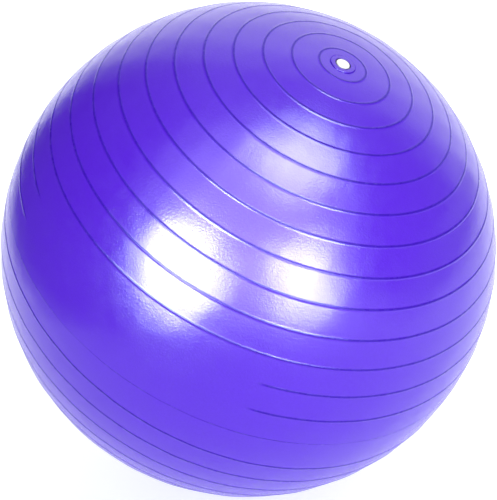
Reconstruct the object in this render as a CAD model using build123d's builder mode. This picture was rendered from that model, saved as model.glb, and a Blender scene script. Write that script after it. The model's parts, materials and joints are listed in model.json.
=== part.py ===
from build123d import *
import math
import os

# Inflatable exercise ball: one ribbed vinyl skin, the valve seat that is bonded into it,
# and the plug that is pulled out of the seat to blow the ball up or let it down.
# Millimetres, +Z up. The ball stands on the floor plane, z = 0, with its flattened
# contact patch centred on the origin, and its valve axis leans away from upright.

os.makedirs("parts", exist_ok=True)

# Ball
ball_radius = 325.0
skin_thickness = 0.9
patch_radius = 37.5
centre_height = math.sqrt(ball_radius**2 - patch_radius**2)
valve_lean = 24.0
valve_heading = -30.0

# Ribs: rings around the valve axis, the same number on each side of the parting line
ribs_per_half = 13
rib_spread = 1.06
rib_round = 1.3
rib_height = 0.8
lower_axis_lean = 3.5
lower_axis_heading = -25.6

# The upper ribs 12 and 13 stop short to leave a smooth window
window_ribs = (12, 13)
window_middle = -94.9
window_span = 67.5

# Valve seat
lip_radius = 16.0
lip_height = 0.9
lip_edge = 0.6
flange_radius = 21.0
flange_thickness = 2.6
recess_radius = 9.8
recess_depth = 1.6
neck_radius = 7.6
neck_length = 18.0
bore_radius = 4.6
hole_depth = 18.0

# Plug
head_radius = 9.0
head_thickness = 2.2
head_edge = 0.6
head_crown = 0.5
shoulder_radius = 4.5
shoulder_crown = 0.4
head_gap = 0.05
stem_clearance = 0.06
stem_core_radius = 3.9
stem_length = 22.0
stem_tip_radius = 2.4
stem_tip_length = 4.0
barb_count = 3
barb_pitch = 5.0
barb_length = 1.6


def leaning(lean, heading):
    """Unit vector that leans from +Z by lean degrees, towards heading degrees from +X."""
    a, b = math.radians(lean), math.radians(heading)
    return Vector(math.sin(a) * math.cos(b), math.sin(a) * math.sin(b), math.cos(a))


def rib_angle(number):
    """Angle at the ball's centre between its pole and a rib, counted from the pole."""
    return 90.0 * (number / (ribs_per_half + 1)) ** rib_spread


def sphere_height(radius, distance):
    """Height over the ball's centre of a sphere's surface, at a distance from the axis."""
    return math.sqrt(radius**2 - distance**2)


# ball_plane stands at the ball's centre with its Z along the valve axis. lower_plane is
# the same for the ribs of the lower half, whose axis leans a little from the valve's.
centre = Vector(0, 0, centre_height)
ball_plane = Plane(
    origin=centre,
    x_dir=leaning(valve_lean + 90.0, valve_heading),
    z_dir=leaning(valve_lean, valve_heading),
)
lower_z = ball_plane.from_local_coords(leaning(lower_axis_lean, lower_axis_heading)) - centre
lower_plane = Plane(origin=centre, x_dir=ball_plane.x_dir, z_dir=lower_z)


def half_plane(frame, turn=0.0):
    """Sketch plane through a frame's axis: X away from the axis, Y along it."""
    out = frame.x_dir.rotate(Axis((0, 0, 0), frame.z_dir), turn)
    return Plane(origin=frame.origin, x_dir=out, z_dir=out.cross(frame.z_dir))


def rib_centre(angle):
    """Middle of a rib's round section, in a half plane, at an angle from the axis."""
    reach = ball_radius + rib_height - rib_round
    return (reach * math.sin(math.radians(angle)), reach * math.cos(math.radians(angle)))


def rib_sections(plane, angles):
    """The round sections of some ribs, ready to be revolved."""
    with BuildSketch(plane) as sections:
        with Locations(*[rib_centre(angle) for angle in angles]):
            Circle(rib_round)
    return sections.sketch.faces()


valve_axis = Axis(ball_plane.origin, ball_plane.z_dir)
lower_axis = Axis(lower_plane.origin, lower_plane.z_dir)
rib_numbers = range(1, ribs_per_half + 1)
whole_ribs = [rib_angle(n) for n in rib_numbers if n not in window_ribs]
cut_ribs = [rib_angle(n) for n in window_ribs]
lower_ribs = [180.0 - rib_angle(n) for n in rib_numbers]
window_start = window_middle - window_span / 2
window_end = window_middle + window_span / 2

# Air space inside the skin, flat where the ball stands
with BuildPart() as air_space:
    with Locations(centre):
        Sphere(ball_radius - skin_thickness)
    split(bisect_by=Plane.XY.offset(skin_thickness), keep=Keep.TOP)

# Skin: a sphere with proud ribs, hollow, open for the valve seat at the upper pole
with BuildPart() as ball_shell:
    with Locations(centre):
        Sphere(ball_radius)
    revolve(rib_sections(half_plane(ball_plane), whole_ribs), axis=valve_axis)
    revolve(rib_sections(half_plane(lower_plane), lower_ribs), axis=lower_axis)
    revolve(
        rib_sections(half_plane(ball_plane, window_end), cut_ribs),
        axis=valve_axis,
        revolution_arc=360.0 - window_span,
    )
    for end in (window_start, window_end):
        end_plane = half_plane(ball_plane, end)
        with Locations(*[end_plane.from_local_coords((*rib_centre(a), 0)) for a in cut_ribs]):
            Sphere(rib_round)
    split(bisect_by=Plane.XY, keep=Keep.TOP)
    add(air_space.part, mode=Mode.SUBTRACT)
    with Locations(ball_plane.offset(ball_radius)):
        Cylinder(lip_radius, hole_depth, mode=Mode.SUBTRACT)

# Valve seat: a lip that fills the skin's hole, a flange under the skin and a neck
inner_radius = ball_radius - skin_thickness
lip_top = sphere_height(ball_radius, lip_radius) + lip_height
flange_top = sphere_height(inner_radius, lip_radius)
flange_rim = sphere_height(inner_radius, flange_radius)
flange_base = flange_top - flange_thickness
recess_floor = lip_top - recess_depth
neck_end = flange_base - neck_length
arc_middle_radius = (lip_radius + flange_radius) / 2
with BuildPart() as valve_seat:
    with BuildSketch(half_plane(ball_plane)) as seat_section:
        with BuildLine():
            Polyline(
                (lip_radius, flange_top),
                (lip_radius, lip_top - lip_edge),
                (lip_radius - lip_edge, lip_top),
                (recess_radius + lip_edge, lip_top),
                (recess_radius, lip_top - lip_edge),
                (recess_radius, recess_floor),
                (bore_radius, recess_floor),
                (bore_radius, neck_end),
                (neck_radius, neck_end),
                (neck_radius, flange_base),
                (flange_radius - flange_thickness / 2, flange_base),
                (flange_radius, flange_rim),
            )
            ThreePointArc(
                (flange_radius, flange_rim),
                (arc_middle_radius, sphere_height(inner_radius, arc_middle_radius)),
                (lip_radius, flange_top),
            )
        make_face()
    revolve(axis=valve_axis)

# Plug: a low crowned head over the seat's recess and a barbed stem down its bore
head_base = recess_floor + head_gap
head_top = head_base + head_thickness
stem_end = head_base - stem_length
barb_radius = bore_radius - stem_clearance
with BuildPart() as plug:
    with BuildSketch(half_plane(ball_plane)) as plug_section:
        with BuildLine():
            Polyline(
                (0, head_top + head_crown),
                (0, stem_end),
                (stem_tip_radius, stem_end),
                (stem_core_radius, stem_end + stem_tip_length),
                (stem_core_radius, head_base),
                (head_radius - head_edge, head_base),
                (head_radius, head_base + head_edge),
                (head_radius, head_top - head_edge),
                (head_radius - head_edge, head_top),
                (shoulder_radius, head_top + shoulder_crown),
                close=True,
            )
        make_face()
    revolve(axis=valve_axis)
    for barb in range(barb_count):
        barb_top = head_base - (barb + 1) * barb_pitch + barb_length
        with BuildSketch(half_plane(ball_plane)):
            with BuildLine():
                Polyline(
                    (0, barb_top),
                    (barb_radius, barb_top),
                    (stem_core_radius, barb_top - 2 * barb_length),
                    (0, barb_top - 2 * barb_length),
                    close=True,
                )
            make_face()
        revolve(axis=valve_axis)

ball_shell.part.label = "ball_shell"
valve_seat.part.label = "valve_seat"
plug.part.label = "plug"

export_step(ball_shell.part, "parts/ball_shell.step")
export_step(valve_seat.part, "parts/valve_seat.step")
export_step(plug.part, "parts/plug.step")
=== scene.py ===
import json
import math

import bpy
import numpy as np
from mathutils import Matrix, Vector


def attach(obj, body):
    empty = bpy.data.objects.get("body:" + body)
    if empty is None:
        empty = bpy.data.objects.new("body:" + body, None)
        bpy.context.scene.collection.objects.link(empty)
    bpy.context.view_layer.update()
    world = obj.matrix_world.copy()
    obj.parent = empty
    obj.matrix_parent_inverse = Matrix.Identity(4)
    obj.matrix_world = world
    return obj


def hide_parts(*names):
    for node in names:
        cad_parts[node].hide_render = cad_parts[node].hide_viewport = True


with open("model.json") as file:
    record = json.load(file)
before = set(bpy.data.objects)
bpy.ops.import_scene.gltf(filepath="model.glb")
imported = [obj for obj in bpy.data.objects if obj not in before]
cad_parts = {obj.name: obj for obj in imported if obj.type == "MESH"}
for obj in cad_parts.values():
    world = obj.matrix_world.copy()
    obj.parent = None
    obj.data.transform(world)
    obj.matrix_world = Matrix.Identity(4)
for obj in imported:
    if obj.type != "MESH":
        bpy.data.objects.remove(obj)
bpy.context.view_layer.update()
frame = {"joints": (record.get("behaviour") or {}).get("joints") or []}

# Every length is in metres and every angle in degrees, unless a name says otherwise.
# The ball's own frame has its Z along the valve's axis, which is the plug joint's axis.
BALL_RADIUS = 0.325
PATCH_RADIUS = 0.0375
SKIN_THICKNESS = 0.0009
CENTRE = Vector((0, 0, math.sqrt(BALL_RADIUS**2 - PATCH_RADIUS**2)))
VALVE_AXIS = Vector(frame["joints"][0]["axis"]).normalized()
SIDE_AXIS = Vector((0, 0, 1)).cross(VALVE_AXIS).normalized()
DOWN_AXIS = SIDE_AXIS.cross(VALVE_AXIS)
BALL_TO_WORLD = np.array([DOWN_AXIS, SIDE_AXIS, VALVE_AXIS])

# Ribs
RIBS_PER_HALF = 13
RIB_SPREAD = 1.06
RIB_HEIGHT = 0.0005
RIB_HALF_WIDTH = 0.0024
RIB_CREST = 0.2
RIB_SHADE_SHIFT = 0.25
RIB_MATERIAL_SHADE = 0.5
RIB_GLOSS = 0.2
RIB_SHADE_EDGE = 0.85
RIB_SHADE_FADE = 0.5
RIB_ROWS = (-1.25, -1.0, -0.7, -0.35, 0.0, 0.35, 0.7, 1.0, 1.25)

# The lower half's ribs lean from the valve's axis; the lean grows in just past the seam
LOWER_LEAN = 3.5
LOWER_HEADING = -25.6
LEAN_START = 90.5
LEAN_BLEND = 5.0

# The smooth window that cuts two of the upper ribs
WINDOW_RIBS = (12, 13)
WINDOW_MIDDLE = -94.9
WINDOW_SPAN = 67.5
RIB_END_TAPER = 2.5

# Parting line
SEAM_ANGLE = 90.4
SEAM_HEIGHT = 0.00025
SEAM_HALF_WIDTH = 0.0009

# Valve seat, and the shallow dish round it in the skin
LIP_RADIUS = 0.016
LIP_CLEARANCE = 0.0002
DISH_RADIUS = 0.029
DISH_DEPTH = 0.0004
DISH_ROWS = (0.018, 0.021, 0.024)
SEAT_LIP_TOP = math.sqrt(BALL_RADIUS**2 - LIP_RADIUS**2) + 0.0003
SEAT_RECESS = SEAT_LIP_TOP - 0.0014
SEAT_FLANGE = math.sqrt((BALL_RADIUS - SKIN_THICKNESS) ** 2 - LIP_RADIUS**2)
SEAT_FLANGE_BASE = SEAT_FLANGE - 0.0026
RECESS_RADIUS = 0.0098
RECESS_EDGE = 0.0102
RECESS_SHADE_RADIUS = 0.0101
BORE_RADIUS = 0.0046
NECK_RADIUS = 0.0076
NECK_END = SEAT_FLANGE_BASE - 0.018
SEAT_COLUMNS = 128

# Plug
HEAD_BASE = SEAT_RECESS + 0.00005
HEAD_TOP = HEAD_BASE + 0.0022
HEAD_RADIUS = 0.0084
STEM_RADIUS = 0.0039
STEM_TIP_RADIUS = 0.0024
STEM_END = HEAD_BASE - 0.022
STEM_TAPER_START = HEAD_BASE - 0.018
BARBS = 3
BARB_PITCH = 0.005
BARB_RISE = 0.0016
BARB_LENGTH = 0.0032
BARB_RADIUS = 0.00454
PLUG_COLUMNS = 96

# Mesh density of the skin
COLUMNS = 300
BAND_ROWS = 2
INNER_ROWS = 16
FAR_ROWS = 4
INNER_FAR_ANGLE = 179.0
FLOOR_EDGE = 0.0006

# Vinyl: noise scales are per metre
MOTTLE_SCALE = 9.0
MOTTLE_SHARE = 0.45
SPECK_SCALE = 380.0
SPECK_SHARE = 0.55
CLOUD_SCALE = 60.0
FINE_SCALE = 620.0
FINE_BUMP = 0.00010
COARSE_SCALE = 420.0
COARSE_BUMP = 0.00018
RIB_ROUGHER = 0.04
VINYL_IOR = 1.5
# The skin's third colour is painted shade along the ribs and the parting line, set where the rib
# attribute is 1
SKIN_COLOURS = ((0.072, 0.0055, 0.55), (0.083, 0.0080, 0.62), (0.036, 0.001, 0.40))
# The seat's third colour is painted shadow in the recess round the plug
SEAT_COLOURS = ((0.067, 0.0055, 0.51), (0.082, 0.0085, 0.59), (0.014, 0.0014, 0.10))
SKIN_GRAIN = 1.0
SKIN_ROUGHNESS = 0.23
SEAT_GRAIN = 0.4
SEAT_ROUGHNESS = 0.27

# Studio
CAMERA_ELEVATION = 30
CAMERA_DISTANCE = 7.18 * BALL_RADIUS
SOFTBOX_DISTANCE = 1.5
FILL_DISTANCE = 2.0
FILL_SIZE = 1.6
SOFTBOX_COLOUR = (0.86, 1.0, 1.0)
FILL_COLOUR = (1.0, 1.0, 1.0)
MATT_SKY = 0.72
MIRROR_SKY = 0.03


def smooth_step(x):
    x = np.clip(x, 0.0, 1.0)
    return x * x * (3.0 - 2.0 * x)


def bead(offset):
    """Height of a rib's section, a low ridge with a round crest: 1 there, 0 at its feet."""
    slope = math.hypot(offset, RIB_CREST) - RIB_CREST
    return max(0.0, 1.0 - slope / (math.hypot(1.0, RIB_CREST) - RIB_CREST))


def rib_shade(offset):
    """How much painted shade darkens a rib, which is duller there too: 1 at its crest, fading
    sooner on its far flank.
    """
    inside = RIB_SHADE_EDGE - abs(offset + RIB_SHADE_SHIFT)
    return float(smooth_step(inside / RIB_SHADE_FADE))


def rib_angle(number):
    """Angle at the ball's centre between its pole and a rib, counted from the pole."""
    return 90.0 * (number / (RIBS_PER_HALF + 1)) ** RIB_SPREAD


def new_object(name, vertices, faces, smooth=True):
    mesh = bpy.data.meshes.new(name)
    mesh.from_pydata([tuple(v) for v in vertices], [], faces)
    mesh.update()
    if smooth:
        mesh.shade_smooth()
    piece = bpy.data.objects.new(name, mesh)
    bpy.context.scene.collection.objects.link(piece)
    return piece


def to_world(local):
    """Points of the ball's own frame, one a row, moved to the CAD frame."""
    return local @ BALL_TO_WORLD + np.array(CENTRE)


def tube_faces(rows, columns, closed=True):
    """Quads between rings of vertices; closed joins the last ring to the first."""
    faces = []
    for row in range(rows if closed else rows - 1):
        here, there = row * columns, ((row + 1) % rows) * columns
        for column in range(columns):
            after = (column + 1) % columns
            faces.append((here + column, there + column, there + after, here + after))
    return faces


# ---------------------------------------------------------------- the skin

def outer_rows():
    """The skin's rows from the valve hole to the far pole: (angle, rib number, offset)."""
    degree = math.degrees(1.0 / BALL_RADIUS)
    rows = [(math.degrees(math.asin(LIP_RADIUS / BALL_RADIUS)), 0, 0.0)]
    rows += [(math.degrees(math.asin(r / BALL_RADIUS)), 0, 0.0) for r in DISH_ROWS]
    upper = [(rib_angle(n), n) for n in range(1, RIBS_PER_HALF + 1)]
    lower = [(180.0 - angle, 2 * RIBS_PER_HALF + 2 - n) for angle, n in reversed(upper)]
    lines = upper + [(SEAM_ANGLE, RIBS_PER_HALF + 1)] + lower
    for angle, number in lines:
        width = SEAM_HALF_WIDTH if number == RIBS_PER_HALF + 1 else RIB_HALF_WIDTH
        first = angle + RIB_ROWS[0] * width * degree
        last = rows[-1][0]
        if number > 1:
            for step in range(1, BAND_ROWS + 1):
                rows.append((last + (first - last) * step / (BAND_ROWS + 1), 0, 0.0))
        rows += [(angle + offset * width * degree, number, offset) for offset in RIB_ROWS]
    last = rows[-1][0]
    rows += [(last + (180.0 - last) * step / FAR_ROWS, 0, 0.0) for step in range(1, FAR_ROWS)]
    return rows


def unevenness(points):
    """Small swellings of the blown-up skin, as a sum of fixed waves: (way, phase, height)."""
    waves = (
        ((31, 17, -22), 0.4, 0.00010),
        ((-19, 38, 27), 1.9, 0.00008),
        ((52, -33, 41), 3.1, 0.00005),
        ((-61, -47, 58), 5.0, 0.00004),
        ((83, 71, 35), 2.2, 0.00002),
    )
    total = np.zeros(len(points))
    for direction, phase, height in waves:
        total += height * np.sin(points @ np.array(direction, float) + phase)
    return total


def skin_row(angle, number, offset, turn, shell):
    """One ring of the skin in the ball's frame, and its points' heights over the sphere."""
    seam = RIBS_PER_HALF + 1
    lean = LOWER_LEAN * smooth_step((angle - LEAN_START) / LEAN_BLEND)
    a, lean, heading = math.radians(angle), math.radians(lean), math.radians(LOWER_HEADING)
    ring = np.stack(
        [math.sin(a) * np.cos(turn), math.sin(a) * np.sin(turn), np.full(COLUMNS, math.cos(a))], 1
    )
    # Lean the ring's axis towards the heading
    along = np.array([math.cos(heading), math.sin(heading), 0.0])
    up = np.array([0.0, 0.0, 1.0])
    reach, rise = ring @ along, ring @ up
    ring = (
        ring
        + np.outer(reach * math.cos(lean) + rise * math.sin(lean) - reach, along)
        + np.outer(rise * math.cos(lean) - reach * math.sin(lean) - rise, up)
    )
    rib = np.zeros(COLUMNS)
    if shell:
        return ring, rib, rib
    height = unevenness(ring)
    degrees = np.degrees(turn)
    if number == seam:
        drift = 0.7 + 0.3 * np.sin(3 * turn + 1.0) * np.sin(8 * turn)
        height = height + SEAM_HEIGHT * bead(offset) * drift
        # The parting line is darkened with the same painted shade as the ribs
        rib = rib_shade(offset) * drift
    elif number:
        taper = np.ones(COLUMNS)
        if number in WINDOW_RIBS:
            away = np.abs((degrees - WINDOW_MIDDLE + 180.0) % 360.0 - 180.0)
            taper = smooth_step((away - WINDOW_SPAN / 2) / RIB_END_TAPER)
        height = height + RIB_HEIGHT * bead(offset) * taper
        # Painted shade along the rib, deepest on the flank towards the valve
        rib = rib_shade(offset) * taper
    from_axis = BALL_RADIUS * math.sin(a)
    if angle < 90 and from_axis < DISH_RADIUS:
        height = height - DISH_DEPTH * smooth_step(
            (DISH_RADIUS - from_axis) / (DISH_RADIUS - LIP_RADIUS)
        )
    return ring, height, rib


def flatten(points, floor):
    """Presses what would be under a floor onto it, with a soft edge."""
    above = points[:, 2] - floor
    lifted = 0.5 * (above + np.sqrt(above**2 + FLOOR_EDGE**2))
    points[:, 2] = floor + lifted - 0.5 * FLOOR_EDGE
    points[:, 2] = np.maximum(points[:, 2], floor)
    return points


def far_pole(ring, floor):
    """The point that closes a wall's last ring."""
    return flatten(ring.mean(0)[None, :], floor)[0]


def make_skin():
    """Both walls of the skin, joined at the valve's hole and closed at the far pole."""
    turn = np.linspace(0, 2 * math.pi, COLUMNS, endpoint=False)
    outer, ribs = [], []
    for angle, number, offset in outer_rows():
        ring, height, rib = skin_row(angle, number, offset, turn, False)
        ribs.append(rib)
        outer.append(flatten(to_world(ring * (BALL_RADIUS + height)[:, None]), 0.0))
    hole = math.degrees(math.asin(LIP_RADIUS / BALL_RADIUS))
    inner = []
    for step in range(INNER_ROWS):
        angle = INNER_FAR_ANGLE + (hole - INNER_FAR_ANGLE) * step / (INNER_ROWS - 1)
        ring, height, rib = skin_row(angle, 0, 0.0, turn, True)
        ribs.append(rib)
        if step == INNER_ROWS - 1:
            height = height - DISH_DEPTH
        radius = BALL_RADIUS - SKIN_THICKNESS + height
        inner.append(flatten(to_world(ring * radius[:, None]), SKIN_THICKNESS))
    rings = outer + inner
    last_outer = (len(outer) - 1) * COLUMNS
    first_inner = len(outer) * COLUMNS
    faces = tube_faces(len(rings), COLUMNS)
    # The last outer ring isn't joined to the first inner one: each goes to its own pole
    del faces[last_outer:first_inner]
    outer_pole = len(rings) * COLUMNS
    inner_pole = outer_pole + 1
    poles = [far_pole(outer[-1], 0.0), far_pole(inner[0], SKIN_THICKNESS)]
    vertices = np.concatenate(rings + [poles])
    for column in range(COLUMNS):
        after = (column + 1) % COLUMNS
        faces.append((last_outer + column, outer_pole, last_outer + after))
        faces.append((first_inner + after, inner_pole, first_inner + column))
    skin = new_object("ball_skin", vertices, faces)
    # The rib attribute darkens the skin with painted shade along the ribs and the parting line
    painted_shade = skin.data.attributes.new("rib", "FLOAT", "POINT")
    shades = np.concatenate(ribs + [np.zeros(2)])
    painted_shade.data.foreach_set("value", shades)
    # The ribs' crests are less glossy, so they get the skin's second material
    on_rib = [int(shades[list(face)].mean() > RIB_MATERIAL_SHADE) for face in faces]
    skin.data.polygons.foreach_set("material_index", on_rib)
    return skin


# ---------------------------------------------------------------- valve seat and plug

def rounded(corners, steps=6):
    """A profile whose corners (distance from axis, height, radius) are rounded."""
    points = []
    total = len(corners)
    for i, (x, y, radius) in enumerate(corners):
        here = Vector((x, y))
        if radius == 0 or i in (0, total - 1):
            points.append(here)
            continue
        before = (Vector(corners[i - 1][:2]) - here).normalized()
        after = (Vector(corners[i + 1][:2]) - here).normalized()
        half = before.angle(after) / 2
        reach = radius / math.tan(half)
        start, end = here + before * reach, here + after * reach
        for step in range(steps + 1):
            t = step / steps
            points.append(start * (1 - t) ** 2 + here * 2 * t * (1 - t) + end * t**2)
    return points


def lathe(name, profile, columns=96):
    """A solid of revolution about the valve's axis. The profile's ends may lie on the axis."""
    turn = np.linspace(0, 2 * math.pi, columns, endpoint=False)
    on_axis = [abs(p.x) < 1e-9 for p in profile]
    rows = [p for p, axis in zip(profile, on_axis) if not axis]
    rings = [
        np.stack([p.x * np.cos(turn), p.x * np.sin(turn), np.full(columns, p.y)], 1) for p in rows
    ]
    local = np.concatenate(rings)
    closed = not any(on_axis)
    faces = tube_faces(len(rows), columns, closed)
    if not closed:
        first, last = len(local), len(local) + 1
        local = np.concatenate([local, [(0, 0, profile[0].y), (0, 0, profile[-1].y)]])
        end = (len(rows) - 1) * columns
        for column in range(columns):
            after = (column + 1) % columns
            faces.append((column, after, first))
            faces.append((end + after, end + column, last))
    return new_object(name, to_world(local), faces)


def make_seat():
    """Lip, recess, bore, neck and flange: (distance from axis, height, rounding)."""
    lip = LIP_RADIUS - LIP_CLEARANCE
    corners = [
        (lip, SEAT_FLANGE - 0.0004, 0),
        (lip, SEAT_LIP_TOP, 0.0006),
        (RECESS_EDGE, SEAT_LIP_TOP + 0.0001, 0.0005),
        (RECESS_RADIUS, SEAT_RECESS, 0.0003),
        (BORE_RADIUS, SEAT_RECESS, 0.0002),
        (BORE_RADIUS, NECK_END, 0.0005),
        (NECK_RADIUS, NECK_END, 0.0008),
        (NECK_RADIUS, SEAT_FLANGE_BASE, 0.0006),
        (0.0200, SEAT_FLANGE_BASE, 0.0008),
        (0.0208, SEAT_FLANGE - 0.0009, 0.0002),
        (0.0160, SEAT_FLANGE - 0.0005, 0),
    ]
    ring = lathe("valve_ring", rounded(corners)[::-1], SEAT_COLUMNS)
    # The recess takes the deeper colour, which stands in for the shadow round the plug
    shade = ring.data.attributes.new("rib", "FLOAT", "POINT")
    spots = np.zeros(len(ring.data.vertices) * 3)
    ring.data.vertices.foreach_get("co", spots)
    local = (spots.reshape(-1, 3) - np.array(CENTRE)) @ BALL_TO_WORLD.T
    inside = np.hypot(local[:, 0], local[:, 1]) < RECESS_SHADE_RADIUS
    shade.data.foreach_set("value", np.where(inside, 1.0, 0.0))
    return ring


def make_plug():
    """A head with a dimpled crown and a barbed stem: (distance from axis, height, rounding)."""
    corners = [
        (0.0, HEAD_TOP + 0.0002, 0),
        (0.0011, HEAD_TOP + 0.0002, 0.0003),
        (0.0016, HEAD_TOP + 0.0005, 0.0003),
        (0.0050, HEAD_TOP + 0.0004, 0.002),
        (HEAD_RADIUS, HEAD_TOP - 0.0001, 0.0009),
        (HEAD_RADIUS, HEAD_BASE + 0.0004, 0.0002),
        (HEAD_RADIUS - 0.0003, HEAD_BASE, 0.0001),
        (STEM_RADIUS, HEAD_BASE, 0.0003),
    ]
    for barb in range(BARBS):
        barb_top = HEAD_BASE - (barb + 1) * BARB_PITCH + BARB_RISE
        corners += [
            (STEM_RADIUS, barb_top, 0.0001),
            (BARB_RADIUS, barb_top, 0.00015),
            (STEM_RADIUS, barb_top - BARB_LENGTH, 0.0003),
        ]
    corners += [
        (STEM_RADIUS, STEM_TAPER_START, 0.001),
        (STEM_TIP_RADIUS, STEM_END, 0.0006),
        (0.0, STEM_END, 0),
    ]
    return lathe("valve_plug", rounded(corners)[::-1], PLUG_COLUMNS)


# ---------------------------------------------------------------- materials

def material(name):
    made = bpy.data.materials.new(name)
    made.use_nodes = True
    nodes, links = made.node_tree.nodes, made.node_tree.links
    return made, nodes, links, nodes["Principled BSDF"]


def noise(nodes, links, coords, scale, detail=2.0, roughness=0.5):
    made = nodes.new("ShaderNodeTexNoise")
    made.inputs["Scale"].default_value = scale
    made.inputs["Detail"].default_value = detail
    made.inputs["Roughness"].default_value = roughness
    links.new(coords.outputs["Object"], made.inputs["Vector"])
    return made


def remap(nodes, links, source, low, high, from_low=0.3, from_high=0.7):
    made = nodes.new("ShaderNodeMapRange")
    made.inputs["From Min"].default_value = from_low
    made.inputs["From Max"].default_value = from_high
    made.inputs["To Min"].default_value = low
    made.inputs["To Max"].default_value = high
    links.new(source, made.inputs["Value"])
    return made


def colour_ramp(nodes, links, source, stops):
    made = nodes.new("ShaderNodeValToRGB")
    ramp = made.color_ramp
    while len(ramp.elements) < len(stops):
        ramp.elements.new(0.5)
    for element, (place, colour) in zip(ramp.elements, stops):
        element.position = place
        element.color = (*colour, 1.0)
    links.new(source, made.inputs["Fac"])
    return made


def bump(nodes, links, source, strength, distance, under=None):
    made = nodes.new("ShaderNodeBump")
    made.inputs["Strength"].default_value = strength
    made.inputs["Distance"].default_value = distance
    links.new(source.outputs["Fac"], made.inputs["Height"])
    if under:
        links.new(under.outputs["Normal"], made.inputs["Normal"])
    return made


def multiply_add(nodes, links, source, factor, added):
    made = nodes.new("ShaderNodeMath")
    made.operation = "MULTIPLY_ADD"
    made.inputs[1].default_value = factor
    links.new(source.outputs["Fac"], made.inputs[0])
    links.new(added.outputs["Result"], made.inputs[2])
    return made.outputs["Value"]


def vinyl(name, colours, grain, roughness, gloss=0.5):
    """Moulded vinyl: two colours that mottle, and a third, painted shade, where the rib attribute
    is 1.
    """
    dark, light, painted_shade = colours
    made, nodes, links, shader = material(name)
    coords = nodes.new("ShaderNodeTexCoord")
    mottle = noise(nodes, links, coords, MOTTLE_SCALE, 3.0, 0.5)
    speck = noise(nodes, links, coords, SPECK_SCALE, 2.0, 0.6)
    half = remap(nodes, links, speck.outputs["Fac"], 0.0, SPECK_SHARE, 0.25, 0.75)
    both = multiply_add(nodes, links, mottle, MOTTLE_SHARE, half)
    ramp = colour_ramp(nodes, links, both, [(0.1, dark), (0.9, light)])
    rib = nodes.new("ShaderNodeAttribute")
    rib.attribute_name = "rib"
    blend = nodes.new("ShaderNodeMix")
    blend.data_type = "RGBA"
    links.new(rib.outputs["Fac"], blend.inputs[0])
    links.new(ramp.outputs["Color"], blend.inputs[6])
    blend.inputs[7].default_value = (*painted_shade, 1.0)
    links.new(blend.outputs[2], shader.inputs["Base Color"])
    cloud = noise(nodes, links, coords, CLOUD_SCALE, 3.0, 0.6)
    rough = remap(nodes, links, cloud.outputs["Fac"], roughness - 0.02, roughness + 0.04)
    duller = multiply_add(nodes, links, rib, RIB_ROUGHER, rough)
    links.new(duller, shader.inputs["Roughness"])
    fine = noise(nodes, links, coords, FINE_SCALE, 2.0, 0.6)
    coarse = noise(nodes, links, coords, COARSE_SCALE, 2.0, 0.5)
    coarse_bump = bump(nodes, links, coarse, grain, COARSE_BUMP)
    fine_bump = bump(nodes, links, fine, grain, FINE_BUMP, coarse_bump)
    links.new(fine_bump.outputs["Normal"], shader.inputs["Normal"])
    shader.inputs["Specular IOR Level"].default_value = gloss
    shader.inputs["IOR"].default_value = VINYL_IOR
    return made


def white_plastic():
    made, nodes, links, shader = material("white_plastic")
    coords = nodes.new("ShaderNodeTexCoord")
    tint = noise(nodes, links, coords, 260.0, 3.0, 0.6)
    ramp = colour_ramp(
        nodes, links, tint.outputs["Fac"], [(0.3, (0.84, 0.85, 0.80)), (0.7, (0.93, 0.93, 0.89))]
    )
    links.new(ramp.outputs["Color"], shader.inputs["Base Color"])
    rough = remap(nodes, links, tint.outputs["Fac"], 0.30, 0.42)
    links.new(rough.outputs["Result"], shader.inputs["Roughness"])
    grain = bump(nodes, links, tint, 0.3, 0.00004)
    links.new(grain.outputs["Normal"], shader.inputs["Normal"])
    return made


# ---------------------------------------------------------------- stage, light, camera

def direction(azimuth, elevation):
    """Unit vector: azimuth 0 points at the camera's side (-Y), positive towards +X."""
    a, e = math.radians(azimuth), math.radians(elevation)
    return Vector((math.sin(a) * math.cos(e), -math.cos(a) * math.cos(e), math.sin(e)))


def make_floor():
    """A pale floor with a glow of its own, dimmer in a pool at the ball's front left."""
    half = 40.0
    floor = new_object(
        "floor", [(-half, -half, 0), (half, -half, 0), (half, half, 0), (-half, half, 0)],
        [(0, 1, 2, 3)], False,
    )
    floor.location.z = -0.0004
    made, nodes, links, shader = material("pale_floor")
    coords = nodes.new("ShaderNodeTexCoord")
    tint = noise(nodes, links, coords, 3.0, 3.0)
    ramp = colour_ramp(
        nodes, links, tint.outputs["Fac"], [(0.3, (0.44, 0.45, 0.46)), (0.7, (0.46, 0.47, 0.48))]
    )
    links.new(ramp.outputs["Color"], shader.inputs["Base Color"])
    shader.inputs["Roughness"].default_value = 0.9
    across = nodes.new("ShaderNodeVectorMath")
    across.operation = "DISTANCE"
    across.inputs[1].default_value = (-0.4, -1.2, 0.0)
    links.new(coords.outputs["Object"], across.inputs[0])
    glow = remap(nodes, links, across.outputs["Value"], 0.2, 1.3, 0.1, 2.2)
    glow.interpolation_type = "SMOOTHSTEP"
    links.new(glow.outputs["Result"], shader.inputs["Emission Strength"])
    shader.inputs["Emission Color"].default_value = (0.93, 0.96, 1.0, 1.0)
    floor.data.materials.append(made)


def make_flag(name, x, top, shade):
    """A cloth card at one side, hidden from the camera, which the ball's flank mirrors."""
    near, far = -1.1, 1.5
    flag = new_object(
        name, [(x, near, 0), (x, far, 0), (x, far, top), (x, near, top)], [(0, 1, 2, 3)], False
    )
    made, nodes, links, shader = material(name + "_cloth")
    coords = nodes.new("ShaderNodeTexCoord")
    weave = noise(nodes, links, coords, 300.0)
    dark, light = [0.9 * shade] * 3, [1.1 * shade] * 3
    ramp = colour_ramp(nodes, links, weave.outputs["Fac"], [(0.3, dark), (0.7, light)])
    links.new(ramp.outputs["Color"], shader.inputs["Base Color"])
    shader.inputs["Roughness"].default_value = 1.0
    flag.data.materials.append(made)
    flag.visible_camera = False
    flag.visible_shadow = False
    flag.visible_diffuse = False


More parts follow.
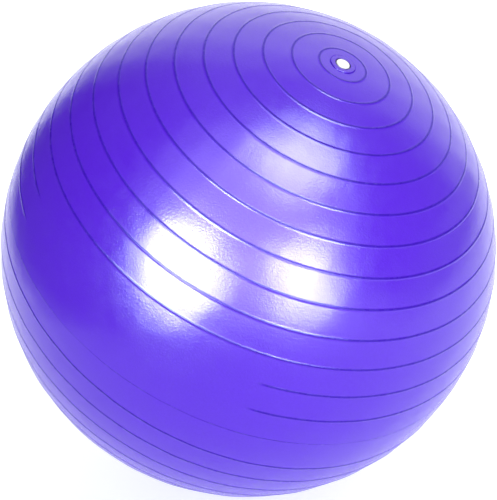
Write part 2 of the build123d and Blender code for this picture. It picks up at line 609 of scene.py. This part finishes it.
def area_light(name, way, distance, size, radiance):
    """A rectangular light that faces the ball; radiance in W/(m2 sr) is that of a rectangle."""
    data = bpy.data.lights.new(name, "AREA")
    data.shape = "RECTANGLE"
    data.size, data.size_y = size
    data.energy = radiance * math.pi * size[0] * size[1]
    light = bpy.data.objects.new(name, data)
    light.location = CENTRE + way * distance
    light.rotation_euler = way.to_track_quat("Z", "Y").to_euler()
    light.visible_camera = False
    bpy.context.scene.collection.objects.link(light)
    return light


def softbox(name, way, size, radiance):
    """A light that only shows as a reflection."""
    light = area_light(name, way, SOFTBOX_DISTANCE, size, radiance)
    light.data.color = SOFTBOX_COLOUR
    light.visible_diffuse = False
    return light


def fill(name, way, radiance):
    """A light that has no reflection of its own."""
    light = area_light(name, way, FILL_DISTANCE, (FILL_SIZE, FILL_SIZE), radiance)
    light.data.color = FILL_COLOUR
    light.visible_glossy = False


def world_lobe(nodes, links, way, azimuth, elevation, inner, outer, radiance):
    """Light from a round patch of the surroundings, fading between two angles."""
    dot = nodes.new("ShaderNodeVectorMath")
    dot.operation = "DOT_PRODUCT"
    links.new(way, dot.inputs[0])
    dot.inputs[1].default_value = direction(azimuth, elevation)
    fade = nodes.new("ShaderNodeMapRange")
    fade.interpolation_type = "SMOOTHSTEP"
    fade.inputs["From Min"].default_value = math.cos(math.radians(outer))
    fade.inputs["From Max"].default_value = math.cos(math.radians(inner))
    fade.inputs["To Max"].default_value = radiance
    links.new(dot.outputs["Value"], fade.inputs["Value"])
    return fade.outputs["Result"]


def make_world():
    """Even light on matt surfaces; round lobes of light (azimuth, elevation, inner, outer,
    radiance) in reflections."""
    world = bpy.data.worlds.new("studio")
    world.use_nodes = True
    bpy.context.scene.world = world
    nodes, links = world.node_tree.nodes, world.node_tree.links
    coords = nodes.new("ShaderNodeTexCoord")
    way = coords.outputs["Generated"]
    lobes = (
        (165, 15, 25, 52, 1.7),
        (150, 70, 10, 45, 0.6),
        (0, 38, 5, 60, 6.5),
        (95, 20, 10, 50, 0.35),
        (-130, 60, 5, 40, 0.3),
    )
    total = nodes.new("ShaderNodeValue")
    total.outputs[0].default_value = MIRROR_SKY
    total = total.outputs[0]
    for lobe in lobes:
        add = nodes.new("ShaderNodeMath")
        links.new(total, add.inputs[0])
        links.new(world_lobe(nodes, links, way, *lobe), add.inputs[1])
        total = add.outputs[0]
    path = nodes.new("ShaderNodeLightPath")
    mirror = nodes.new("ShaderNodeMix")
    mirror.inputs[2].default_value = MATT_SKY
    links.new(path.outputs["Is Glossy Ray"], mirror.inputs[0])
    links.new(total, mirror.inputs[3])
    background = nodes["Background"]
    background.inputs["Color"].default_value = (0.97, 0.985, 1.0, 1.0)
    links.new(mirror.outputs[0], background.inputs["Strength"])


def make_lights():
    left = softbox("softbox_left", direction(-29, 19), (0.86, 0.98), 34.0)
    left.data.shape = "ELLIPSE"
    softbox("softbox_right", direction(22, 16), (0.58, 0.74), 32.0)
    softbox("softbox_top", direction(42, 61), (0.80, 0.66), 16.0)
    fill("fill_front", direction(2, 17), 1.85)
    fill("fill_top", direction(20, 62), 1.6)


def make_camera():
    data = bpy.data.cameras.new("camera")
    data.sensor_width = 36.0
    data.lens = 126.7
    camera = bpy.data.objects.new("camera", data)
    way = direction(0, CAMERA_ELEVATION)
    camera.location = CENTRE + way * CAMERA_DISTANCE
    camera.rotation_euler = way.to_track_quat("Z", "Y").to_euler()
    data.shift_y = -0.0018
    bpy.context.scene.collection.objects.link(camera)
    bpy.context.scene.camera = camera


# ---------------------------------------------------------------- the scene

make_camera()
make_floor()
make_flag("flag_left", -1.06, 1.0, 0.01)
make_flag("flag_right", 1.7, 0.4, 0.4)
make_world()
make_lights()
bpy.context.scene.view_settings.view_transform = "Standard"

skin = make_skin()
skin_finish = (SKIN_COLOURS, SKIN_GRAIN, SKIN_ROUGHNESS)
skin.data.materials.append(vinyl("violet_vinyl", *skin_finish))
skin.data.materials.append(vinyl("violet_rib", *skin_finish, RIB_GLOSS))
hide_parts("ball_shell")
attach(skin, "ball")

seat = make_seat()
seat.data.materials.append(vinyl("violet_seat", SEAT_COLOURS, SEAT_GRAIN, SEAT_ROUGHNESS))
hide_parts("valve_seat")
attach(seat, "ball")

plug = make_plug()
plug.data.materials.append(white_plastic())
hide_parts("plug")
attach(plug, "plug")
